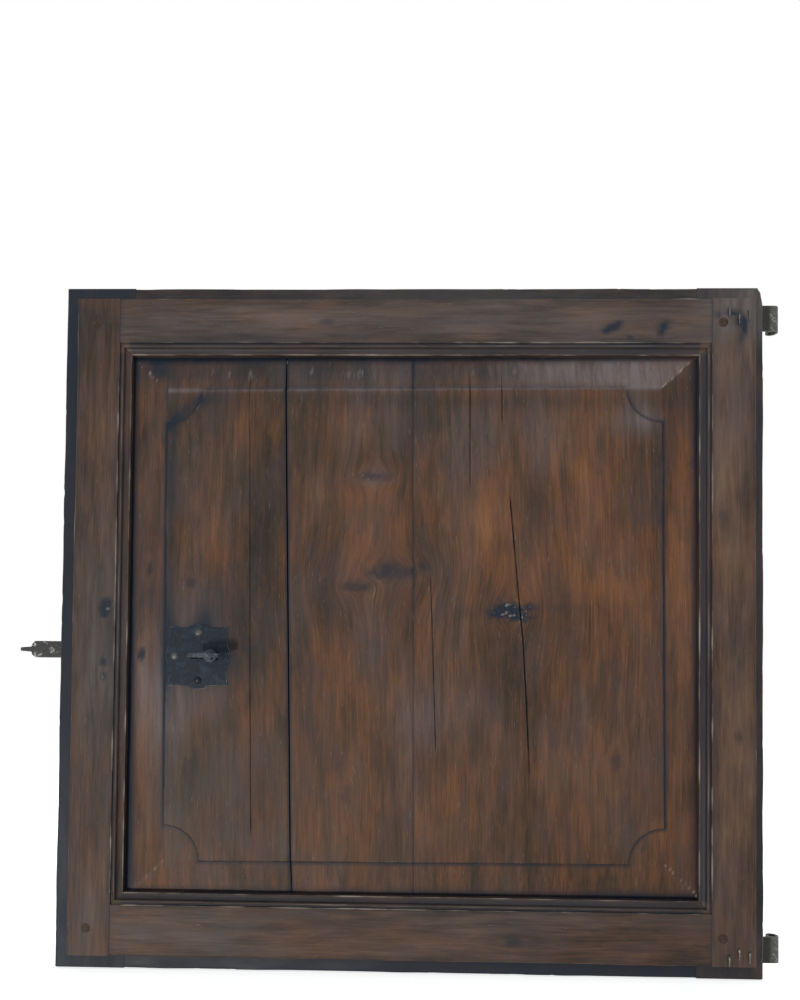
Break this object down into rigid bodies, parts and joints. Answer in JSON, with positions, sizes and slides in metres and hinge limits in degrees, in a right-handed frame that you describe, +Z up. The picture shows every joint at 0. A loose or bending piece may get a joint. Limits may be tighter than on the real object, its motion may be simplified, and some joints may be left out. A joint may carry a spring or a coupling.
{
  "type": "panelled wooden door",
  "caption": "Framed and panelled pine door leaf with rebated lip, raised board panel with scooped corners, lift-off hinge eyes, rim lock with thrown bolt, keyhole plate and key.",
  "frame": {"origin": "on the hinge axis, at the underside of the lower hinge eye, where it rests on its pintle", "axes": "+Z up along the hinge axis, +X from the lock edge to the hinge edge as seen from the front, -Y out of the front face"},
  "size_m": [0.9065, 0.0909, 0.8],
  "materials": {
    "frame_pine": "dark stained, worn, waxed",
    "panel_pine": "dark stained, worn, waxed",
    "peg_wood": "dark end grain",
    "forged_iron": "forged, blackened, rubbed on the arrises",
    "lock_iron": "forged, dry, lightly rusted"
  },
  "bodies": {
    "door": {"bolt_keep": "lock_iron", "bolt_spring": "lock_iron", "bolt_staple": "forged_iron", "bottom_hinge_side_peg": "peg_wood", "bottom_lock_side_peg": "peg_wood", "bottom_rail": "frame_pine", "cover_post_lower": "lock_iron", "cover_post_upper": "lock_iron", "drill_pin": "lock_iron", "hinge_stile": "frame_pine", "keyhole_plate": "forged_iron", "keyhole_plate_nail_foot": "forged_iron", "keyhole_plate_nail_left": "forged_iron", "keyhole_plate_nail_right": "forged_iron", "keyhole_plate_nail_top": "forged_iron", "lock_cover": "lock_iron", "lock_nail_lower_panel": "forged_iron", "lock_nail_lower_stile": "forged_iron", "lock_nail_upper_panel": "forged_iron", "lock_nail_upper_stile": "forged_iron", "lock_packing": "frame_pine", "lock_plate": "lock_iron", "lock_rim": "lock_iron", "lock_stile": "frame_pine", "lower_hinge": "forged_iron", "lower_hinge_nail_1": "forged_iron", "lower_hinge_nail_2": "forged_iron", "lower_hinge_nail_3": "forged_iron", "panel_board_hinge_side": "panel_pine", "panel_board_lock_side": "panel_pine", "panel_board_middle": "panel_pine", "top_hinge_side_peg": "peg_wood", "top_lock_side_peg": "peg_wood", "top_rail": "frame_pine", "upper_hinge": "forged_iron", "upper_hinge_nail_1": "forged_iron", "upper_hinge_nail_2": "forged_iron", "upper_hinge_nail_3": "forged_iron", "ward_ring": "lock_iron"},
    "bolt": {"lock_bolt": "forged_iron"},
    "key": {"key": "forged_iron"}
  },
  "joints": [
    {"name": "bolt_slide", "type": "slide", "parent": "door", "child": "bolt", "axis": [1, 0, 0], "range_m": [0, 0.048]},
    {"name": "key_turn", "type": "hinge", "parent": "door", "child": "key", "pos_m": [-0.6586, -0.0353, 0.3517], "axis": [0, 1, 0], "range_deg": [0, 180.1]}
  ],
  "couplings": [
    {"joint": "key_turn", "follows": "bolt_slide", "rad_per_m": 65.45}
  ]
}
